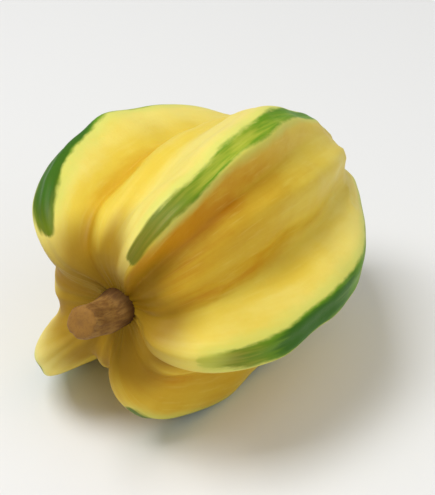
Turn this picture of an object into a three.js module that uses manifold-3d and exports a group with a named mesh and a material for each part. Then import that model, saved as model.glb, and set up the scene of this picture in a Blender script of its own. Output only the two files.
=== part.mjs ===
// A whole star fruit with its stalk, as picked, lying on two of its five ribs.
//
// The fruit's own axis runs along X, with the stalk towards -X and the tip towards +X. Two outlines run along
// it: the line of a rib's crest and the line of a groove at its foot. A lathe turns the crest's line into a
// round body, and the skin between the ribs is then drawn in towards the groove's line.
//
// Millimetres, +Z up. The origin is at the middle of the bounding box, on the surface that the fruit lies on.

import * as THREE from 'three';
import { mergeVertices } from 'three/addons/utils/BufferGeometryUtils.js';
import Module from 'manifold-3d';

const wasm = await Module();
wasm.setup();
const { degToRad, lerp, clamp, smoothstep } = THREE.MathUtils;

// ---------------------------------------------------------------- driving dimensions

const BODY_LENGTH = 80;       // from the shoulders round the stalk to the tip
const CREST_RADIUS = 32;      // from the axis to a rib's crest, where the body is widest
const VALLEY_RADIUS = 21.5;   // from the axis to the bottom of a groove, at the same place
const WIDEST_AT = 32;         // from the shoulders to the widest place
const PIT_DEPTH = 6;          // from the shoulders down to the floor round the stalk
const PIT_RADIUS = 13.5;      // from the axis to the top of a shoulder
const CREST_ROUNDING = 0.1;   // radians over which a crest stays round
const GROOVE_ROUNDING = 0.08; // and the foot of a flank
const PLUMPNESS = 0.5;        // how much a rib's flanks swell beyond flat ones

// Each rib: its place round the axis in degrees from straight up, its height as a share of the common one,
// and how many degrees its crest swings sideways from end to end. The body rests on the third and fourth.
const RIBS = [
  { angle: 20, height: 1, swing: -9 },
  { angle: 92, height: 0.97, swing: -12 },
  { angle: 161.5, height: 0.93, swing: -5 },
  { angle: 219.5, height: 1.14, swing: 0 },
  { angle: 307.5, height: 1.02, swing: -7 },
];
const NOSE_DOWN = 3;          // degrees that the tip dips, which brings the weight over the resting places

// Each valley, starting with the one after the first rib. Two grooves run along it, with a low fold between
// them. A groove's place is a share of the way from the rib on its side to the valley's middle. Some grooves
// are raised above the common depth, or sunk below it. That and the fold's height are in millimetres.
const VALLEYS = [
  { grooves: [0.34, 0.66], raised: [4.4, -0.8], fold: 1.8 },
  { grooves: [0.66, 0.7], raised: [0, 0], fold: 1.6 },
  { grooves: [0.7, 0.66], raised: [0, 0], fold: 1.6 },
  { grooves: [0.62, 0.66], raised: [0, 0], fold: 2.2 },
  { grooves: [0.56, 0.84], raised: [0, 1.8], fold: 1.1 },
];

const FLANK_STEPS = 6;        // mesh steps from a crest down to the groove beside it
const FOLD_STEPS = 6;         // and from that groove across the fold to the next
const CROWDING = 1.4;         // how closely the steps of a flank crowd together at the crest
const FLAT_DEPTH = 0.35;      // how far the weight presses each resting rib flat

const STEM_RADIUS = 3.1;
const STEM_SIDES = 16;
const STEM_STEPS = 16;
const STEM_FLARE = 0.3;       // how much wider the stalk is at its foot
const STEM_FLARE_LENGTH = 6;
const STEM_REACH = 7.5;       // from the shoulders to the stalk's cut end
const STEM_RISE = 3.4;        // how far the cut end is bent up from the axis
const STEM_DRIFT = 1.2;       // and sideways
const SOCKET_DEPTH = 2.5;     // how far the stalk's foot goes into the floor of the pit
const CLEARANCE = 0.3;        // between the foot and its socket

// ---------------------------------------------------------------- solids

function solidOf(geometry) {
  const bare = geometry.clone();
  bare.deleteAttribute('normal');
  bare.deleteAttribute('uv');
  const closed = mergeVertices(bare, 1e-4);
  const vertProperties = Float32Array.from(closed.attributes.position.array);
  const triVerts = Uint32Array.from(closed.index.array);
  return new wasm.Manifold(new wasm.Mesh({ numProp: 3, vertProperties, triVerts }));
}

function geometryOf(solid) {
  const { vertProperties, triVerts } = solid.getMesh();
  const geometry = new THREE.BufferGeometry();
  geometry.setAttribute('position', new THREE.BufferAttribute(vertProperties.slice(), 3));
  geometry.setIndex(new THREE.BufferAttribute(triVerts.slice(), 1));
  geometry.computeVertexNormals();
  return geometry;
}

function named(name, geometry, color, roughness) {
  const mesh = new THREE.Mesh(geometry, new THREE.MeshStandardMaterial({ color, roughness, metalness: 0 }));
  mesh.name = name;
  return mesh;
}

// ---------------------------------------------------------------- the two outlines

// A line from the floor of the pit to the tip, in the curve segments that both outlines share: pit wall,
// shoulder, body and tip. A knot is the distance from the shoulders and the distance from the axis.
function outline(...segments) {
  const curve = (knots) => new THREE.CubicBezierCurve(...knots.map(([x, y]) => new THREE.Vector2(x, y)));
  return segments.map(curve);
}

const shoulder = [0, PIT_RADIUS];
const widest = [WIDEST_AT, CREST_RADIUS];
const nose = [BODY_LENGTH - 2.6, 6.2];
const crestLine = outline(
  [[PIT_DEPTH, 0], [PIT_DEPTH, 7], [0.5, 8], shoulder],
  [shoulder, [0, 22.5], [7.5, CREST_RADIUS], widest],
  [widest, [49, CREST_RADIUS], [70, 18.5], nose],
  [nose, [BODY_LENGTH - 0.8, 4], [BODY_LENGTH, 2.4], [BODY_LENGTH, 0]],
);

const saddle = [3.8, 10.5];
const deepest = [WIDEST_AT + 3, VALLEY_RADIUS];
const noseFoot = [BODY_LENGTH - 2.8, 5];
const grooveLine = outline(
  [[PIT_DEPTH, 0], [PIT_DEPTH, 5.5], [4, 7], saddle],
  [saddle, [3.4, 16], [13, VALLEY_RADIUS], deepest],
  [deepest, [55, VALLEY_RADIUS], [69, 15], noseFoot],
  [noseFoot, [BODY_LENGTH - 1.2, 3.4], [BODY_LENGTH, 2], [BODY_LENGTH, 0]],
);

// Every mesh ring's place: which segment it lies in, and how far along that segment.
const STEPS_PER_SEGMENT = [7, 13, 18, 5];
const rings = STEPS_PER_SEGMENT.flatMap((steps, segment) =>
  Array.from({ length: steps }, (_, i) => ({ segment, t: i / steps })));
rings.push({ segment: STEPS_PER_SEGMENT.length - 1, t: 1 });

// ---------------------------------------------------------------- the body

// Eases an angle so that it starts level and still ends at the same end.
function rounded(angle, end, rounding) {
  const ease = (x) => Math.hypot(x, rounding) - rounding;
  return end * ease(angle) / ease(end);
}

// How much of the way out from the groove's line to the crest's line a flank stands, at an angle from the
// crest. At the widest place it is the straight line down to the groove at its foot, rounded at both ends and
// swollen.
function shareOut(angle, foot) {
  const fromFoot = rounded(foot - rounded(angle, foot, CREST_ROUNDING), foot, GROOVE_ROUNDING);
  const fromCrest = foot - fromFoot;
  const lever = CREST_RADIUS * Math.sin(fromCrest) + VALLEY_RADIUS * Math.sin(fromFoot);
  const straight = CREST_RADIUS * VALLEY_RADIUS * Math.sin(foot) / lever;
  const across = fromCrest / foot;
  const swell = 1 + PLUMPNESS * 4 * across * (1 - across);
  return (straight - VALLEY_RADIUS) / (CREST_RADIUS - VALLEY_RADIUS) * swell;
}

// A place in the skin, from its distance to the shoulders, its distance to the axis and its turn in degrees.
function around(x, radius, degrees) {
  return new THREE.Vector3(x, -radius * Math.sin(degToRad(degrees)), radius * Math.cos(degToRad(degrees)));
}

// A point of the skin: step counts the mesh steps round the axis, and a ring is a place along the outlines.
const STEPS_PER_RIB = 2 * FLANK_STEPS + FOLD_STEPS;
function skinPoint(step, { segment, t }) {
  const crest = crestLine[segment].getPoint(t);
  const groove = grooveLine[segment].getPoint(t);
  const before = Math.floor(step / STEPS_PER_RIB) % RIBS.length;
  const after = (before + 1) % RIBS.length;
  const { grooves, raised, fold } = VALLEYS[before];
  const swing = (crest.x - WIDEST_AT) / BODY_LENGTH;
  const angleBefore = RIBS[before].angle + RIBS[before].swing * swing;
  const angleAfter = RIBS[after].angle + RIBS[after].swing * swing + (after === 0 ? 360 : 0);
  const halfGap = (angleAfter - angleBefore) / 2;
  const fullness = segment === 0 ? 0 : Math.sin(Math.PI * clamp(groove.x / BODY_LENGTH, 0, 1)) ** 0.8;
  const stepOn = step % STEPS_PER_RIB;
  const stepBack = STEPS_PER_RIB - stepOn;

  if (groove.y < 1e-6) return around(crest.x, 0, 0);
  if (stepOn > FLANK_STEPS && stepBack > FLANK_STEPS) {
    const across = (stepOn - FLANK_STEPS) / FOLD_STEPS;
    const degrees = lerp(angleBefore + halfGap * grooves[0], angleAfter - halfGap * grooves[1], across);
    const swell = fold * Math.sin(Math.PI * across) ** 2;
    const rise = lerp(raised[0], raised[1], smoothstep(across, 0, 1));
    return around(groove.x, groove.y + fullness * (swell + rise), degrees);
  }
  const isBefore = stepOn <= FLANK_STEPS;
  const side = isBefore ? 0 : 1;
  const foot = halfGap * grooves[side];
  const footRadius = groove.y + fullness * raised[side];
  const fromCrest = foot * ((isBefore ? stepOn : stepBack) / FLANK_STEPS) ** CROWDING;
  const crestRadius = crest.y * RIBS[isBefore ? before : after].height;
  const share = shareOut(degToRad(fromCrest), degToRad(foot));
  const degrees = isBefore ? angleBefore + fromCrest : angleAfter - fromCrest;
  return around(lerp(groove.x, crest.x, share), lerp(footRadius, crestRadius, share), degrees);
}

function skin() {
  const steps = RIBS.length * STEPS_PER_RIB;
  const profile = rings.map(({ segment, t }) => crestLine[segment].getPoint(t));
  const lathe = new THREE.LatheGeometry(profile.map(({ x, y }) => new THREE.Vector2(y, x)), steps);
  const { position, uv } = lathe.attributes;
  for (let i = 0; i < position.count; i++) {
    const ring = rings[Math.round(uv.getY(i) * (rings.length - 1))];
    const { x, y, z } = skinPoint(Math.round(uv.getX(i) * steps), ring);
    position.setXYZ(i, x, y, z);
  }
  return lathe;
}

// ---------------------------------------------------------------- the stalk

const stemFoot = PIT_DEPTH + SOCKET_DEPTH - CLEARANCE;
const stemPath = new THREE.CatmullRomCurve3([
  new THREE.Vector3(stemFoot, 0, 0),
  new THREE.Vector3(PIT_DEPTH - 4, 0, 0),
  new THREE.Vector3(-STEM_REACH * 0.35, -STEM_DRIFT * 0.4, STEM_RISE * 0.4),
  new THREE.Vector3(-STEM_REACH, -STEM_DRIFT, STEM_RISE),
]);

// A rod along the stalk's path, widened towards its foot.
function stalk() {
  const section = new THREE.Shape().absarc(0, 0, STEM_RADIUS, 0, 2 * Math.PI);
  const rod = new THREE.ExtrudeGeometry(section, {
    extrudePath: stemPath,
    steps: STEM_STEPS,
    curveSegments: STEM_SIDES,
  });
  const { position } = rod.attributes;
  const centres = stemPath.getSpacedPoints(STEM_STEPS);
  const point = new THREE.Vector3();
  for (let i = 0; i < position.count; i++) {
    point.fromBufferAttribute(position, i);
    const nearer = (best, one) => (one.distanceTo(point) < best.distanceTo(point) ? one : best);
    const centre = centres.reduce(nearer);
    const fromFoot = stemFoot - centre.x;
    const swell = 1 + STEM_FLARE * Math.exp(-((fromFoot / STEM_FLARE_LENGTH) ** 2));
    point.sub(centre).multiplyScalar(swell).add(centre);
    position.setXYZ(i, point.x, point.y, point.z);
  }
  return rod;
}

// The round hole in the floor of the pit that the stalk's foot stands in.
function socket() {
  const radius = STEM_RADIUS * (1 + STEM_FLARE) + CLEARANCE;
  const length = 2 * SOCKET_DEPTH;
  const hole = new THREE.CylinderGeometry(radius, radius, length, 2 * STEM_SIDES);
  return hole.rotateZ(Math.PI / 2).translate(PIT_DEPTH + SOCKET_DEPTH - length / 2, 0, 0);
}

// ---------------------------------------------------------------- the whole

// Turns the body about its axis until the resting rib on each side reaches equally low.
function settle(geometry) {
  const { position } = geometry.attributes;
  const rounds = 4;
  for (let round = 0; round < rounds; round++) {
    const places = Array.from({ length: position.count }, (_, i) => i);
    const points = places.map((i) => new THREE.Vector3().fromBufferAttribute(position, i));
    const lowest = (some) => some.reduce((low, one) => (one.z < low.z ? one : low));
    const near = lowest(points.filter(({ y }) => y < 0));
    const far = lowest(points.filter(({ y }) => y > 0));
    geometry.rotateX(-Math.atan2(far.z - near.z, far.y - near.y));
  }
}

const body = skin();
body.rotateY(degToRad(NOSE_DOWN));
settle(body);
body.computeBoundingBox();
const table = new THREE.BoxGeometry(3 * BODY_LENGTH, 3 * BODY_LENGTH, BODY_LENGTH);
table.translate(0, 0, body.boundingBox.min.z + FLAT_DEPTH - BODY_LENGTH / 2);
const hole = socket().rotateY(degToRad(NOSE_DOWN));
const fruitSolid = solidOf(body).subtract(solidOf(hole)).subtract(solidOf(table));

const part = new THREE.Group();
part.add(named('fruit', geometryOf(fruitSolid), 0xd9bd4c, 0.5));
part.add(named('stem', stalk().rotateY(degToRad(NOSE_DOWN)), 0x7d5138, 0.75));
const box = new THREE.Box3().setFromObject(part);
part.position.set(-(box.min.x + box.max.x) / 2, -(box.min.y + box.max.y) / 2, -box.min.z);

export default part;
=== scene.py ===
"""A whole star fruit with its stalk, lying on two of its five ribs, in soft light on a pale floor."""

from math import acos, atan2, cos, exp, hypot, pi, radians, sin

import bmesh
import bpy
from mathutils import Matrix, Vector, noise


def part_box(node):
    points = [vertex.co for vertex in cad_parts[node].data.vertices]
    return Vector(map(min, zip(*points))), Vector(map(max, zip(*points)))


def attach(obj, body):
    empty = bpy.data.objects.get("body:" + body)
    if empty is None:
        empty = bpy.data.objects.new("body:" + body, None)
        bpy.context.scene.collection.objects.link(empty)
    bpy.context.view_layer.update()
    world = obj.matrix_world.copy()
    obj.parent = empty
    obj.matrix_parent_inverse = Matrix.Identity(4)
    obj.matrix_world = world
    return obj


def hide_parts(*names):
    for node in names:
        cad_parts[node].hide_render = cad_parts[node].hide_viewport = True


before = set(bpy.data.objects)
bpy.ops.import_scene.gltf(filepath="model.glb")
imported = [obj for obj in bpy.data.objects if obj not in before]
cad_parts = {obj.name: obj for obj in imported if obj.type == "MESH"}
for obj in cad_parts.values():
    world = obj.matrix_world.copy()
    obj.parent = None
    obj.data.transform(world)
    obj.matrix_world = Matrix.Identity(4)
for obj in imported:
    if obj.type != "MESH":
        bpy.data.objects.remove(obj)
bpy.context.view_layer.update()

# ---------------------------------------------------------------- the body
# The fleshy body, grown as one piece under a thin waxy skin: five thick ribs that run from the shoulders
# round the stalk to a blunt tip, and in every valley a low fold between two grooves. Two of the ribs are
# pressed flat where they carry it.

# Sizes are in millimetres, and x runs from the shoulders to the tip, until the mesh is finished.
MM = 0.001
BODY_LENGTH = 80
CREST_RADIUS = 32
VALLEY_RADIUS = 21.5
WIDEST_AT = 32
PIT_DEPTH = 6
PIT_RADIUS = 13.5
CREST_ROUNDING = 0.1
GROOVE_ROUNDING = 0.08
PLUMPNESS = 0.5
FLAT_DEPTH = 0.35
NOSE_DOWN = radians(3)

# Each rib: its place round the axis in degrees from straight up, its height as a share of the common
# one, and how many degrees its crest swings sideways from end to end. Then its stroke of green: how far
# it leans to the next rib's side, and its stops, each a distance along the crest with the stroke's half
# width and its darkness there.
RIBS = [
    {"angle": 20, "height": 1.0, "swing": -9, "lean": 0.0,
     "stroke": [(2, 1.9, 0.35), (14, 2.0, 0.3), (30, 1.8, 0.2),
                (52, 2.2, 0.45), (70, 2.0, 0.6), (98, 1.2, 0.8)]},
    {"angle": 92, "height": 0.97, "swing": -12, "lean": -0.9,
     "stroke": [(8, 1.6, -0.4), (20, 2.8, 0.3), (30, 3.6, 1.0),
                (42, 3.2, 0.9), (64, 2.9, 0.1), (96, 1.4, 0.3)]},
    {"angle": 161.5, "height": 0.93, "swing": -5, "lean": 0.0,
     "stroke": [(8, 1.2, 0.7), (30, 1.9, 0.85), (54, 2.2, 0.8),
                (75, 1.8, 0.6), (98, 1.2, 0.8)]},
    {"angle": 219.5, "height": 1.14, "swing": 0, "lean": 0.5,
     "stroke": [(9, 1.6, 0.7), (26, 2.4, 0.65), (46, 2.0, 0.5),
                (64, 2.8, 0.7), (80, 2.2, 0.5), (98, 1.2, 0.8)]},
    {"angle": 307.5, "height": 1.02, "swing": -7, "lean": 1.8,
     "stroke": [(4, 2.4, 0.6), (15, 4.0, 1.2), (29, 3.2, 1.0),
                (46, 1.6, 0.4), (64, 1.3, 0.1), (98, 1.2, 0.8)]},
]
# Each valley, starting after the first rib: its two grooves, as shares of the way from the rib on that
# side to the valley's middle, how far each is raised above the common depth, and the height of the fold
# between them. Then how golden the flesh is, as places from 0 at the first crest to 1 at the next. The
# gold is partly the flesh's own deeper colour and partly painted shade in the grooves and on the underside.
VALLEYS = [
    {"grooves": (0.34, 0.66), "raised": (4.4, -0.8), "fold": 1.8,
     "gold_and_shade": [(0, 0.45), (0.07, 0.9), (0.13, 1.0), (0.24, 0.8),
              (0.5, 0.74), (0.63, 0.9), (0.74, 0.4), (0.86, 0.26)]},
    {"grooves": (0.66, 0.70), "raised": (0.0, 0.0), "fold": 1.6,
     "gold_and_shade": [(0, 0.2), (0.2, 0.38), (0.34, 0.85), (0.5, 0.6),
              (0.66, 0.9), (0.8, 0.75), (1, 0.6)]},
    {"grooves": (0.70, 0.66), "raised": (0.0, 0.0), "fold": 1.6,
     "gold_and_shade": [(0, 0.6), (0.2, 0.62), (0.34, 0.85), (0.5, 0.55),
              (0.66, 0.8), (0.8, 0.3), (1, 0.1)]},
    {"grooves": (0.62, 0.66), "raised": (0.0, 0.0), "fold": 2.2,
     "gold_and_shade": [(0, 0.15), (0.2, 0.2), (0.32, 0.85), (0.5, 0.4),
              (0.68, 0.9), (0.8, 0.2), (1, 0)]},
    {"grooves": (0.56, 0.84), "raised": (0.0, 1.8), "fold": 1.1,
     "gold_and_shade": [(0, 0), (0.12, 0.12), (0.27, 0.84), (0.4, 0.38),
              (0.58, 0.42), (0.7, 0.05), (0.9, 0)]},
]

# The two outlines, as curves over the pit's wall, the shoulder, the body and the tip: the distance from
# the shoulders and the distance from the axis, along a crest and along a groove.
shoulder = (0, PIT_RADIUS)
widest = (WIDEST_AT, CREST_RADIUS)
nose = (BODY_LENGTH - 2.6, 6.2)
CREST_LINE = [
    ((PIT_DEPTH, 0), (PIT_DEPTH, 7), (0.5, 8), shoulder),
    (shoulder, (0, 22.5), (7.5, CREST_RADIUS), widest),
    (widest, (49, CREST_RADIUS), (70, 18.5), nose),
    (nose, (BODY_LENGTH - 0.8, 4), (BODY_LENGTH, 2.4), (BODY_LENGTH, 0)),
]
saddle = (3.8, 10.5)
deepest = (WIDEST_AT + 3, VALLEY_RADIUS)
nose_foot = (BODY_LENGTH - 2.8, 5)
GROOVE_LINE = [
    ((PIT_DEPTH, 0), (PIT_DEPTH, 5.5), (4, 7), saddle),
    (saddle, (3.4, 16), (13, VALLEY_RADIUS), deepest),
    (deepest, (55, VALLEY_RADIUS), (69, 15), nose_foot),
    (nose_foot, (BODY_LENGTH - 1.2, 3.4), (BODY_LENGTH, 2), (BODY_LENGTH, 0)),
]
# A fold tapers off towards both ends of the body by this power, and its top counts as this much less sunk
# than a groove.
FOLD_TAPER = 0.8
FOLD_LIFT = 0.6

# How many rings the skin gets along each of the four curves, and how many steps across each flank and
# each fold. The steps of a flank crowd towards its crest.
CURVE_STEPS = [22, 54, 84, 18]
FLANK_STEPS = 24
FOLD_STEPS = 20
CROWDING = 1.4
STEPS_PER_RIB = 2 * FLANK_STEPS + FOLD_STEPS

# How a crest wanders: the degrees sideways and the share of its height, and the length of each swing. It
# starts to wander sideways at the shoulders, and does so fully this far on.
SIDEWAYS_WANDER = 1.3
SIDEWAYS_LENGTH = 17
SIDEWAYS_FROM = 10
HEIGHT_WANDER = 0.014
HEIGHT_LENGTH = 13
HEIGHT_SEED = 9
# What makes the noise a swing of about 1, and keeps one seed's noise away from the next and off its grid.
NOISE_GAIN = 1.6
SEED_STEP = 7.3
OFF_GRID = 2.1


def on_curve(knots, t):
    """The point at t, from 0 to 1, on the curve of four knots."""
    a, b, c, d = (Vector(knot) for knot in knots)
    ab, bc, cd = a.lerp(b, t), b.lerp(c, t), c.lerp(d, t)
    return ab.lerp(bc, t).lerp(bc.lerp(cd, t), t)


def rounded(angle, end, rounding):
    """The angle, eased so that it starts level and still ends at end."""
    def ease(x):
        return hypot(x, rounding) - rounding
    return end * ease(angle) / ease(end)


def share_out(angle, foot):
    """How far out between groove and crest a flank stands, at an angle from the crest."""
    from_foot = rounded(foot - rounded(angle, foot, CREST_ROUNDING), foot, GROOVE_ROUNDING)
    from_crest = foot - from_foot
    lever = CREST_RADIUS * sin(from_crest) + VALLEY_RADIUS * sin(from_foot)
    straight = CREST_RADIUS * VALLEY_RADIUS * sin(foot) / lever
    across = from_crest / foot
    swell = 1 + PLUMPNESS * 4 * across * (1 - across)
    return (straight - VALLEY_RADIUS) / (CREST_RADIUS - VALLEY_RADIUS) * swell


def smooth(low, high, x):
    """0 below low, 1 above high, and an even slope that starts and ends level in between."""
    t = min(max((x - low) / (high - low), 0), 1)
    return t * t * (3 - 2 * t)


def wander(x, seed, length):
    """A slow random swing between about -1 and 1, along x, that repeats on every run."""
    return NOISE_GAIN * noise.noise(Vector((x / length, seed * SEED_STEP, OFF_GRID)))


# The rings of the skin, from the middle of the pit to the tip: the curve that each is on, and its points
# on a crest and on a groove.
rings = [(part, i / steps) for part, steps in enumerate(CURVE_STEPS) for i in range(steps)]
rings.append((len(CURVE_STEPS) - 1, 1))
ring_lines = [(part, on_curve(CREST_LINE[part], t), on_curve(GROOVE_LINE[part], t)) for part, t in rings]
# How far each ring is from the top of the shoulders, along a crest. Rings in the pit are at negative
# distances.
spans = [(after[1] - before[1]).length for before, after in zip(ring_lines, ring_lines[1:])]
distances = [sum(spans[:ring]) - sum(spans[:CURVE_STEPS[0]]) for ring in range(len(ring_lines))]


def rib_line(number, x):
    """A crest's angle in degrees and its height as a share, at a distance from the shoulders."""
    rib = RIBS[number]
    angle = rib["angle"] + rib["swing"] * (x - WIDEST_AT) / BODY_LENGTH
    angle += SIDEWAYS_WANDER * wander(x, number, SIDEWAYS_LENGTH) * smooth(0, SIDEWAYS_FROM, x)
    return angle, rib["height"] * (1 + HEIGHT_WANDER * wander(x, number + HEIGHT_SEED, HEIGHT_LENGTH))


def skin_point(step, ring):
    """A point of the skin: x, radius and degrees, and the nearest rib's number. Then how far the point is
    from that rib's crest across the skin, negative before it and positive after it, and how sunk it is,
    from 0 on a crest to 1 in a groove. Last, its valley's number and its place across that valley."""
    part, crest, groove = ring_lines[ring]
    before = step // STEPS_PER_RIB
    after = (before + 1) % len(RIBS)
    valley = VALLEYS[before]
    angle_before, height_before = rib_line(before, crest.x)
    angle_after, height_after = rib_line(after, crest.x)
    angle_after += 360 if after == 0 else 0
    half_gap = (angle_after - angle_before) / 2
    fullness = sin(pi * min(max(groove.x / BODY_LENGTH, 0), 1)) ** FOLD_TAPER if part else 0
    steps_on = step % STEPS_PER_RIB
    steps_back = STEPS_PER_RIB - steps_on
    drop = CREST_RADIUS - VALLEY_RADIUS
    if steps_on > FLANK_STEPS and steps_back > FLANK_STEPS:
        across = (steps_on - FLANK_STEPS) / FOLD_STEPS
        start = angle_before + half_gap * valley["grooves"][0]
        end = angle_after - half_gap * valley["grooves"][1]
        low, high = valley["raised"]
        swell = valley["fold"] * sin(pi * across) ** 2 + low + (high - low) * smooth(0, 1, across)
        x = groove.x
        radius = groove.y + fullness * swell
        degrees = start + (end - start) * across
        off = min(degrees - angle_before, angle_after - degrees)
        near = before if across < 0.5 else after
        deep = drop
        sunk = 1 - FOLD_LIFT * sin(pi * across) ** 2
    else:
        side = 0 if steps_on <= FLANK_STEPS else 1
        foot = half_gap * valley["grooves"][side]
        off = foot * ((steps_back if side else steps_on) / FLANK_STEPS) ** CROWDING
        share = share_out(radians(off), radians(foot))
        foot_radius = groove.y + fullness * valley["raised"][side]
        crest_radius = crest.y * (height_after if side else height_before)
        x = groove.x + (crest.x - groove.x) * share
        radius = foot_radius + (crest_radius - foot_radius) * share
        degrees = angle_after - off if side else angle_before + off
        near = after if side else before
        deep = (1 - share) * drop
        sunk = 1 - share
    place = (degrees - angle_before) / (2 * half_gap)
    aside = radians(off) * radius + deep
    return x, radius, degrees, near, aside if near == before else -aside, sunk, before, place


def read_off(stops, x):
    """The numbers at x on a given list of stops, each a place and the numbers there."""
    if x <= stops[0][0]:
        return stops[0][1:]
    for (x0, *before), (x1, *after) in zip(stops, stops[1:]):
        if x <= x1:
            t = smooth(x0, x1, x)
            return [a + (b - a) * t for a, b in zip(before, after)]
    return stops[-1][1:]


# A stroke of green begins round, over this many of its half widths. Before it, its half width sinks below
# nought, down to this depth. Its middle wanders to either side of its line.
ROUND_START = 1.5
BEFORE_STROKE = 2.5
STROKE_WANDER = 0.5
STROKE_LENGTH = 15
STROKE_SEED = 20


def stroke_at(number, distance):
    """The stroke on a rib, at a distance along the crest: how far its middle lies beside the crest, its
    half width and its darkness."""
    rib = RIBS[number]
    start = rib["stroke"][0][0]
    half_width, darkness = read_off(rib["stroke"], distance)
    begun = min(max((distance - start) / (ROUND_START * half_width), 0), 1)
    to_come = min(max(start - distance, 0), BEFORE_STROKE)
    half_width = half_width * (1 - (1 - begun) ** 2) ** 0.5 - to_come
    middle = rib["lean"] + STROKE_WANDER * wander(distance, number + STROKE_SEED, STROKE_LENGTH)
    return middle, half_width, darkness


# The low relief of the skin: wide and small dents, folds along the valleys with a few sharp creases, a
# thin ridge on every crest, puckers round the pit, and a neck before the tip.
DENT_DEPTH = 1.0
SMALL_DENT_DEPTH = 0.5
FOLD_DEPTH = 1.1
CREASE_DEPTH = 0.4
CREASE_WIDTH = 0.06
RIDGE_HEIGHT = 0.4
RIDGE_WIDTH = 1.4
RIDGE_SEED = 30
RIDGE_LENGTH = 9
PUCKER_DEPTH = 0.35
PUCKERS_END = (2, 13)
NECK_DEPTH = 0.5
NECK_WIDTH = 2.2
NECK_AT = BODY_LENGTH - 5.5
# The dents, folds and creases begin past the shoulders and end before the tip.
DENTS_BEGIN = (3, 14)
DENTS_END = (62, 77)


def relief(x, degrees, rib, aside, sunk):
    """How far the skin stands out from the even form, at a point beside the crest of a rib."""
    turn = radians(degrees)

    def field(length, count, seed):
        """Noise that changes over this length, and about this often in every radian round the body."""
        return noise.noise(Vector((x / length + seed, count * sin(turn), count * cos(turn))))

    between = smooth(*DENTS_BEGIN, x) * (1 - smooth(*DENTS_END, x))
    valley = smooth(0.1, 0.6, sunk)
    dents = DENT_DEPTH * field(length=16, count=1.7, seed=0)
    dents += SMALL_DENT_DEPTH * field(length=8, count=3.4, seed=5)
    folds = FOLD_DEPTH * field(length=32, count=5, seed=9) * (0.3 + 0.7 * valley)
    creased = max(0, 1 - abs(field(length=38, count=3.6, seed=3)) / CREASE_WIDTH)
    creased *= smooth(-0.1, 0.25, field(length=14, count=2, seed=7)) * valley
    uneven = 0.7 + 0.5 * wander(x, rib + RIDGE_SEED, RIDGE_LENGTH)
    ridge = RIDGE_HEIGHT * uneven * exp(-((aside / RIDGE_WIDTH) ** 2)) * smooth(0, 8, x)
    pucker = PUCKER_DEPTH * field(length=5, count=8, seed=2) * (1 - smooth(*PUCKERS_END, x))
    neck = NECK_DEPTH * exp(-(((x - NECK_AT) / NECK_WIDTH) ** 2))
    return (dents + folds - CREASE_DEPTH * creased) * between + ridge + pucker - neck


# The skin starts as a ball with the right rings and steps, and every point goes to its place. It takes
# along what its finish needs: its place in the grain; how far it is from the middle of a stroke, and the
# stroke's half width and darkness; how golden it is, with the painted shade in its grooves and underside,
# its distance from the shoulders and how sunk it is.
bm = bmesh.new()
grain_place = bm.verts.layers.float_vector.new("skin_grain")
brush_place = bm.verts.layers.float_vector.new("skin_brush")
tone_and_shade_place = bm.verts.layers.float_vector.new("skin_tone_and_shade")
columns = len(RIBS) * STEPS_PER_RIB
bmesh.ops.create_uvsphere(bm, u_segments=columns, v_segments=len(rings) - 1, radius=1)
heights = []
for vert in bm.verts:
    ring = round(acos(max(-1, min(1, vert.co.z))) / pi * (len(rings) - 1))
    step = round(atan2(vert.co.y, vert.co.x) / (2 * pi) * columns) % columns
    x, radius, degrees, near, aside, sunk, valley, place = skin_point(step, ring)
    turn = radians(degrees)
    vert.co = (x, -radius * sin(turn), radius * cos(turn))
    middle, half_width, darkness = stroke_at(near, distances[ring])
    vert[grain_place] = (x, CREST_RADIUS * sin(turn), CREST_RADIUS * cos(turn))
    vert[brush_place] = (abs(aside - middle), half_width, darkness)
    vert[tone_and_shade_place] = (read_off(VALLEYS[valley]["gold_and_shade"], place)[0], distances[ring], sunk)
    heights.append(relief(x, degrees, near, aside, sunk))

# The body dips towards its tip, and turns about its axis until both resting ribs reach equally low.
# Then it is carried to where the frame has it, and the skin gets its relief. The stalk's place dips and
# is carried with it, and doesn't turn.
SETTLING_TURNS = 4
bm.transform(Matrix.Rotation(NOSE_DOWN, 4, "Y"))
for _ in range(SETTLING_TURNS):
    near_low = min((v.co for v in bm.verts if v.co.y < 0), key=lambda co: co.z)
    far_low = min((v.co for v in bm.verts if v.co.y > 0), key=lambda co: co.z)
    bm.transform(Matrix.Rotation(-atan2(far_low.z - near_low.z, far_low.y - near_low.y), 4, "X"))
frame_low, frame_high = (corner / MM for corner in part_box("fruit"))
own_low = Vector([min(v.co[axis] for v in bm.verts) for axis in range(3)])
own_high = Vector([max(v.co[axis] for v in bm.verts) for axis in range(3)])
carry = (frame_low + frame_high - own_low - own_high) / 2
carry.z = -own_low.z - FLAT_DEPTH
bm.transform(Matrix.Translation(carry))
stem_place = Matrix.Translation(carry) @ Matrix.Rotation(NOSE_DOWN, 4, "Y")
bm.normal_update()
normals = [vert.normal.copy() for vert in bm.verts]
for vert, normal, height in zip(bm.verts, normals, heights):
    vert.co += normal * height
    vert.co.z = max(vert.co.z, 0)


def put_in_scene(bm, name):
    """Makes a finished mesh an object in the scene."""
    mesh = bpy.data.meshes.new(name)
    bm.to_mesh(mesh)
    bm.free()
    made = bpy.data.objects.new(name, mesh)
    bpy.context.scene.collection.objects.link(made)
    return made


def grown(bm, name):
    """Makes a closed mesh in millimetres a smooth piece of the fruit, in metres and facing outwards."""
    bm.normal_update()
    bmesh.ops.recalc_face_normals(bm, faces=bm.faces)
    bm.transform(Matrix.Scale(MM, 4))
    for face in bm.faces:
        face.smooth = True
    return put_in_scene(bm, name)


body = grown(bm, "star_fruit_body")


def connect(tree, node, inputs):
    """Sets the inputs of a node, by name or number, to links or to plain values."""
    for name, value in inputs.items():
        if isinstance(value, Socket):
            tree.links.new(value.link, node.inputs[name])
        else:
            node.inputs[name].default_value = value


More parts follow.
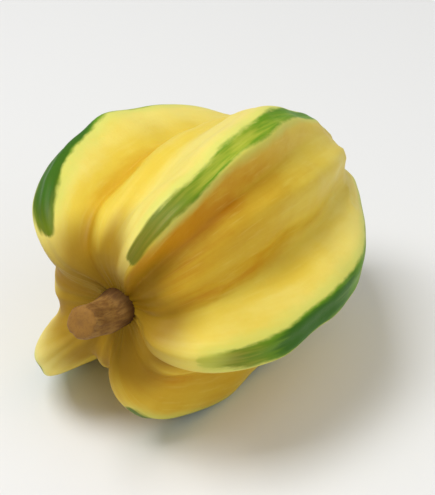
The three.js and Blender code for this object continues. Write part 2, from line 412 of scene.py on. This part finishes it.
class Socket:
    """An output of a node in a material, on which sums can be written."""

    def __init__(self, tree, link=None):
        self.tree = tree
        self.link = link

    def node(self, kind, settings, inputs, output=0):
        """Adds a node with its settings and then its inputs, and returns one of its outputs."""
        made = self.tree.nodes.new(kind)
        for name, value in settings.items():
            setattr(made, name, value)
        connect(self.tree, made, inputs)
        return Socket(self.tree, made.outputs[output])

    def sum(self, operation, first, second):
        """A sum on two values, of which one or both are sockets."""
        return self.node("ShaderNodeMath", {"operation": operation}, {0: first, 1: second})

    def __add__(self, other):
        return self.sum("ADD", self, other)

    def __sub__(self, other):
        return self.sum("SUBTRACT", self, other)

    def __rsub__(self, other):
        return self.sum("SUBTRACT", other, self)

    def __mul__(self, other):
        return self.sum("MULTIPLY", self, other)

    __radd__ = __add__
    __rmul__ = __mul__

    def rise(self, low, high):
        """0 below low, 1 above high, smooth in between."""
        settings = {"interpolation_type": "SMOOTHSTEP"}
        return self.node("ShaderNodeMapRange", settings, {"Value": self, "From Min": low, "From Max": high})

    def over(self, top, bottom):
        """This value, used as a mask, lays the top colour over the bottom one. On a Mix node, 6 and 7 are
        the two colours, and output 2 is their mix."""
        return self.node("ShaderNodeMix", {"data_type": "RGBA"}, {0: self, 6: bottom, 7: top}, 2)

    def paints(self, base, coats):
        """Lays coats of colour over a base, each from the value where it begins to where it is full."""
        for begins, full, colour in coats:
            base = self.rise(begins, full).over(colour, base)
        return base

    def layer(self, name, output="Vector"):
        """What the points of the mesh carry under this name."""
        return self.node("ShaderNodeAttribute", {"attribute_name": name}, {}, output)

    def part(self, number):
        """One of the three numbers of this place."""
        return self.node("ShaderNodeSeparateXYZ", {}, {0: self}, number)

    def parts(self):
        """All three numbers of this place."""
        return [self.part(number) for number in range(3)]

    def stretched(self, along, across):
        """This place, scaled along the grain and across it."""
        scale = (along, across, across)
        return self.node("ShaderNodeVectorMath", {"operation": "MULTIPLY"}, {0: self, 1: scale})

    def grain(self, scale, detail=2, rough=0.5):
        """Noise on this place, from 0 to 1."""
        inputs = {"Vector": self, "Scale": scale, "Detail": detail, "Roughness": rough}
        return self.node("ShaderNodeTexNoise", {}, inputs)

    def swing(self, amount):
        """Noise as a swing to either side of nought."""
        return (self - 0.5) * amount

    def bump(self, strength, distance):
        """This height, as fine relief for a shader."""
        return self.node("ShaderNodeBump", {}, {"Height": self, "Strength": strength, "Distance": distance})


def new_finish(name):
    """A new material, with its nodes and its main shader."""
    finish = bpy.data.materials.new(name)
    finish.use_nodes = True
    return finish, finish.node_tree, finish.node_tree.nodes["Principled BSDF"]


def paint(code):
    """A colour written as on a paint chart, as the light values that a shader needs."""
    parts = [int(code[i:i + 2], 16) / 255 for i in (0, 2, 4)]
    return (*[p / 12.92 if p < 0.04045 else ((p + 0.055) / 1.055) ** 2.4 for p in parts], 1)


FLESH_PALE = paint("EDDB72")
FLESH_YELLOW = paint("E4C846")
FLESH_GOLD_AND_SHADE = paint("D5AB26")
FLESH_ORANGE_AND_SHADE = paint("C88A08")
FRINGE = paint("CFD668")
GREEN_PALE = paint("A4AE2A")
GREEN_FRESH = paint("64920F")
GREEN_DARK = paint("346602")
OLIVE = paint("686602")
PIT_OCHRE_AND_SHADE = paint("9A7306")
# The coats of colour over the palest flesh and the palest green, each with the tones where it begins and
# where it is full. The gold and orange coats of the flesh are partly painted shade.
FLESH_AND_SHADE_COATS = [(0.0, 0.45, FLESH_YELLOW), (0.4, 0.8, FLESH_GOLD_AND_SHADE), (0.74, 1.06, FLESH_ORANGE_AND_SHADE)]
GREEN_COATS = [(0.1, 0.5, GREEN_FRESH), (0.5, 0.9, GREEN_DARK)]
# Where the colours begin and end, along the crests from the shoulders, and for a stroke and its fringe
# outwards from the stroke's edge.
GOLD_AND_SHADE_FADES = (24, 66)
PIT_STAIN_AND_SHADE = (-4, 8)
STAIN_AND_SHADE_UP_GROOVES = 9
OLIVE_FADES = (3, 34)
FRINGE_BEGINS = (3, 14)
FRINGE_FADES = (0, 5)
STROKE_FADES = (-0.8, 0.7)
STROKE_RIM = (-1.8, 0.2)
TIP_GREENS = (BODY_LENGTH - 4.5, BODY_LENGTH - 1.2)

skin, tree, shader = new_finish("waxy_skin")
start = Socket(tree)
spot = start.node("ShaderNodeTexCoord", {}, {}, "Object")
grain_at = start.layer("skin_grain")
off_crest, half_width, darkness = start.layer("skin_brush").parts()
gold_and_shade, along, sunk = start.layer("skin_tone_and_shade").parts()

# Flesh: pale on the ribs, golden to orange in the valleys, partly its own colour and partly painted shade
# in the grooves and on the underside, less golden towards the tip, in soft clouds and lengthwise washes.
# Noise on the spot is scaled by the metre, and noise on the grain by the millimetre.
clouds = spot.grain(scale=60)
mottle = spot.grain(scale=380, detail=4, rough=0.6)
washes = grain_at.stretched(along=0.07, across=0.42).grain(scale=1, detail=3, rough=0.55)
fibres = grain_at.stretched(along=0.16, across=1.5).grain(scale=1)
gold_and_shade_faded = gold_and_shade * (1 - along.rise(*GOLD_AND_SHADE_FADES) * 0.6)
tone_and_shade = gold_and_shade_faded + clouds.swing(0.5) + washes.swing(0.4) + mottle.swing(0.16)
flesh = tone_and_shade.paints(FLESH_PALE, FLESH_AND_SHADE_COATS)
flesh = (fibres.rise(0.55, 0.75) * 0.16).over(FLESH_PALE, flesh)

# Ochre in the pit and a little way up the grooves, part stain and part painted shade, and a greenish fringe
# beside every stroke.
pit_stain_and_shade = 1 - (along - sunk * STAIN_AND_SHADE_UP_GROOVES + clouds.swing(6)).rise(*PIT_STAIN_AND_SHADE)
flesh = (pit_stain_and_shade * 0.9).over(PIT_OCHRE_AND_SHADE, flesh)
ragged = grain_at.stretched(along=0.3, across=0.9).grain(scale=0.8, detail=4, rough=0.6)
off_edge = off_crest - half_width
fringe = (1 - (off_edge - ragged.swing(3)).rise(*FRINGE_FADES)) * along.rise(*FRINGE_BEGINS)
flesh = (fringe * 0.7).over(FRINGE, flesh)

# The strokes of green: a middling green at their rims, paler or darker in their middles, and olive where
# they start. Where a stroke is pale, it is thin. The tip is dark green.
stroke = 1 - (off_edge - ragged.swing(2.6)).rise(*STROKE_FADES)
bold = darkness.rise(-0.4, 0.2)
rim = off_edge.rise(*STROKE_RIM) * (0.5 - darkness) * bold * 0.8
depth = darkness + rim + washes.swing(0.7) + fibres.swing(0.5)
green = depth.paints(GREEN_PALE, GREEN_COATS)
green = ((1 - along.rise(*OLIVE_FADES)) * (1.25 - depth) * bold).over(OLIVE, green)
cover = depth.rise(-0.4, 0.5) * 0.46 + 0.54
colour = (stroke * cover).over(green, flesh)
colour = (grain_at.part(0).rise(*TIP_GREENS) * 0.8).over(GREEN_DARK, colour)

# A fine bloom and faint fibres under a thin wax, a little duller in the pit.
bloom = spot.grain(scale=1700, detail=3, rough=0.6)
connect(tree, shader, {
    "Base Color": colour,
    "Normal": (bloom * 0.35 + fibres * 0.3 + mottle * 0.5).bump(strength=0.2, distance=0.0005),
    "Roughness": 0.4 + mottle * 0.2 + pit_stain_and_shade * 0.1,
    "Specular IOR Level": 0.2,
    "Subsurface Weight": 0.12,
    "Subsurface Radius": (1.0, 0.6, 0.1),
    "Subsurface Scale": 0.002,
    "Coat Weight": 0.03,
    "Coat Roughness": 0.3,
})
body.data.materials.append(skin)
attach(body, "root")
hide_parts("fruit")

# ---------------------------------------------------------------- the stalk
# A short woody stalk with ridged bark. Its wider foot stands in a socket in the floor of the pit, and its
# other end is a dry, slightly domed cut.

STEM_RADIUS = 3.1
STEM_FLARE = 0.3
STEM_FLARE_LENGTH = 6
STEM_STRAIGHT = 4
STEM_REACH = 7.5
STEM_RISE = 3.4
STEM_DRIFT = 1.2
BEND_AT = 0.35
BEND_SHARE = 0.4
SOCKET_DEPTH = 2.5
CLEARANCE = 0.3
CUT_ROUNDING = 1.2
CUT_FLATNESS = 4
OFF_THE_CUT = 2
STEM_SIDES = 96
BARK_RINGS = 84
CUT_RINGS = 16
# The unevenness of the bark, layer by layer: how deep it is, how often it changes round the stalk, how
# long it runs along it, and a seed.
BARK_RIDGES = [(0.26, 2.4, 12, 0), (0.12, 6, 6, 0), (0.2, 0.8, 3, 4)]

# The stalk runs straight out of its socket, and then bends up and a little aside. At one share of its
# reach, it has another share of its rise and drift.
stem_foot = PIT_DEPTH + SOCKET_DEPTH - CLEARANCE
STEM_PATH = [
    Vector((stem_foot, 0, 0)),
    Vector((PIT_DEPTH - STEM_STRAIGHT, 0, 0)),
    Vector((-STEM_REACH * BEND_AT, -STEM_DRIFT * BEND_SHARE, STEM_RISE * BEND_SHARE)),
    Vector((-STEM_REACH, -STEM_DRIFT, STEM_RISE)),
]


def on_stem(t):
    """The point at t, from 0 at the foot to 1 at the cut end, on a curve through the stalk's points."""
    first, *_, last = STEM_PATH
    points = [first * 2 - STEM_PATH[1], *STEM_PATH, last * 2 - STEM_PATH[-2]]
    spans = len(STEM_PATH) - 1
    span = min(int(t * spans), spans - 1)
    u = t * spans - span
    a, b, c, d = points[span:span + 4]
    return (2 * b + (c - a) * u + (2 * a - 5 * b + 4 * c - d) * u ** 2 + (3 * b - a - 3 * c + d) * u ** 3) / 2


def along_stem(t):
    """The direction of that curve at t."""
    nudge = 0.01
    return (on_stem(min(t + nudge, 1)) - on_stem(max(t - nudge, 0))).normalized()


MEASURED_IN = 50
marks = [on_stem(i / MEASURED_IN) for i in range(MEASURED_IN + 1)]
stem_length = sum((after - before).length for before, after in zip(marks, marks[1:]))
rim_at = 1 - CUT_ROUNDING / stem_length

# The bark and the cut also start as one ball. The first rings are the cut, the rest are the bark, and the
# last point closes the foot.
bm = bmesh.new()
bark_place = bm.verts.layers.float_vector.new("bark_grain")
cut_place = bm.verts.layers.float.new("bark_cut")
all_rings = CUT_RINGS + BARK_RINGS
bmesh.ops.create_uvsphere(bm, u_segments=STEM_SIDES, v_segments=all_rings, radius=1)
for vert in bm.verts:
    ring = round(acos(max(-1, min(1, vert.co.z))) / pi * all_rings)
    angle = atan2(vert.co.y, vert.co.x)
    t = rim_at * min((all_rings - ring) / BARK_RINGS, 1)
    share = min(ring / CUT_RINGS, 1) if ring < all_rings else 0
    centre = on_stem(t)
    ahead = along_stem(t)
    if ring < CUT_RINGS:
        centre += ahead * CUT_ROUNDING * (1 - share ** CUT_FLATNESS) ** 0.5
    side = ahead.cross(Vector((0, 0, 1))).normalized()
    up = side.cross(ahead)
    from_foot = stem_foot - centre.x
    turn = Vector((cos(angle), sin(angle), 0))
    radius = STEM_RADIUS * (1 + STEM_FLARE * exp(-((from_foot / STEM_FLARE_LENGTH) ** 2)))
    for depth, count, length, seed in BARK_RIDGES:
        radius += depth * noise.noise(turn * count + Vector((0, 0, from_foot / length + seed)))
    vert.co = centre + (side * cos(angle) + up * sin(angle)) * radius * share
    vert[bark_place] = (from_foot, STEM_RADIUS * cos(angle) * share, STEM_RADIUS * sin(angle) * share)
    vert[cut_place] = share if ring < CUT_RINGS else OFF_THE_CUT
bm.transform(stem_place)
stem = grown(bm, "star_fruit_stalk")

BARK_LIGHT = paint("9E763A")
BARK_MID = paint("7B5528")
BARK_DARK = paint("4C2E0C")
PITH = paint("966A2A")
# Where the painted shade at the foot fades, in millimetres from the foot, and where the core and the whole
# cut end, as shares of the way from the cut's middle to its rim.
FOOT_SHADE = (2.5, 8)
CORE_ENDS = (0.1, 0.3)
CUT_ENDS = (0.85, 1.15)

bark, tree, shader = new_finish("dry_bark")
start = Socket(tree)
bark_at = start.layer("bark_grain")
cut = start.layer("bark_cut", "Fac")
fibres = bark_at.stretched(along=0.2, across=1.1).grain(scale=1.4, detail=4, rough=0.6)
patches = bark_at.grain(scale=0.3)
colour = (fibres * 0.6 + patches * 0.4).rise(0.4, 0.6).over(BARK_LIGHT, BARK_MID)
colour = (fibres.rise(0.56, 0.7) * 0.5).over(BARK_DARK, colour)
# Painted shade: the foot darkens where it stands deep in the pit.
foot_shade = 1 - (bark_at.part(0) + patches.swing(4)).rise(*FOOT_SHADE)
colour = (foot_shade * 0.85).over(BARK_DARK, colour)

# The dry cut: paler wood with darker pores, and a dark core.
pores = bark_at.grain(scale=2.4, detail=4, rough=0.65)
wood = (pores.rise(0.46, 0.64) * 0.45).over(BARK_MID, PITH)
core = 1 - (cut + patches.swing(0.2)).rise(*CORE_ENDS)
wood = (core * 0.55).over(BARK_MID, wood)
is_cut = 1 - (cut + fibres.swing(0.3)).rise(*CUT_ENDS)
colour = (is_cut * 0.85).over(wood, colour)
connect(tree, shader, {
    "Base Color": colour,
    "Normal": (fibres + is_cut * pores).bump(strength=0.3, distance=0.0004),
    "Roughness": 0.7,
    "Specular IOR Level": 0.25,
})
stem.data.materials.append(bark)
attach(stem, "root")
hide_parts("stem")

# ---------------------------------------------------------------- the floor, the light and the camera
# A plain pale floor, a large soft light from high on the camera's left, a weaker one from its right, and
# a camera that looks down past the stalk end. Sizes are in metres.

FLOOR_REACH = 4
FLOOR_COLOUR = (0.8, 0.8, 0.79, 1)
AIM = Vector((0, 0, 0.028))
# Each light's azimuth and elevation in degrees, its width, and its power in watts.
LIGHTS = [("key_light", -135, 66, 0.5, 6.2), ("fill_light", -15, 42, 0.9, 2.1)]
LIGHT_DISTANCE = 0.9
ROOM_COLOUR = (1, 1, 1, 1)
ROOM_STRENGTH = 0.38
CAMERA_AZIMUTH = -55.4
CAMERA_ELEVATION = 32.3
CAMERA_DISTANCE = 0.35
LENS = 128

bm = bmesh.new()
bmesh.ops.create_grid(bm, x_segments=1, y_segments=1, size=FLOOR_REACH)
floor = put_in_scene(bm, "pale_floor")
floor_paint, tree, shader = new_finish("floor_paint")
connect(tree, shader, {"Base Color": FLOOR_COLOUR, "Roughness": 0.9})
floor.data.materials.append(floor_paint)


def toward(azimuth, elevation):
    """The direction from the middle of the fruit out to the camera or to a lamp, from angles in degrees."""
    a, e = radians(azimuth), radians(elevation)
    return Vector((sin(a) * cos(e), -cos(a) * cos(e), sin(e)))


def looking_in(name, data, azimuth, elevation, distance):
    """Puts a camera or a lamp where it looks at the middle of the fruit."""
    holder = bpy.data.objects.new(name, data)
    out = toward(azimuth, elevation)
    holder.location = AIM + out * distance
    holder.rotation_euler = out.to_track_quat("Z", "Y").to_euler()
    bpy.context.scene.collection.objects.link(holder)
    return holder


for name, azimuth, elevation, size, power in LIGHTS:
    light = bpy.data.lights.new(name, "AREA")
    light.size = size
    light.energy = power
    looking_in(name, light, azimuth, elevation, LIGHT_DISTANCE)
room = bpy.data.worlds.new("soft_room")
room.use_nodes = True
background = room.node_tree.nodes["Background"]
connect(room.node_tree, background, {"Color": ROOM_COLOUR, "Strength": ROOM_STRENGTH})
bpy.context.scene.world = room

camera_data = bpy.data.cameras.new("camera")
camera_data.lens = LENS
camera = looking_in("camera", camera_data, CAMERA_AZIMUTH, CAMERA_ELEVATION, CAMERA_DISTANCE)
bpy.context.scene.camera = camera
bpy.context.scene.view_settings.view_transform = "Standard"
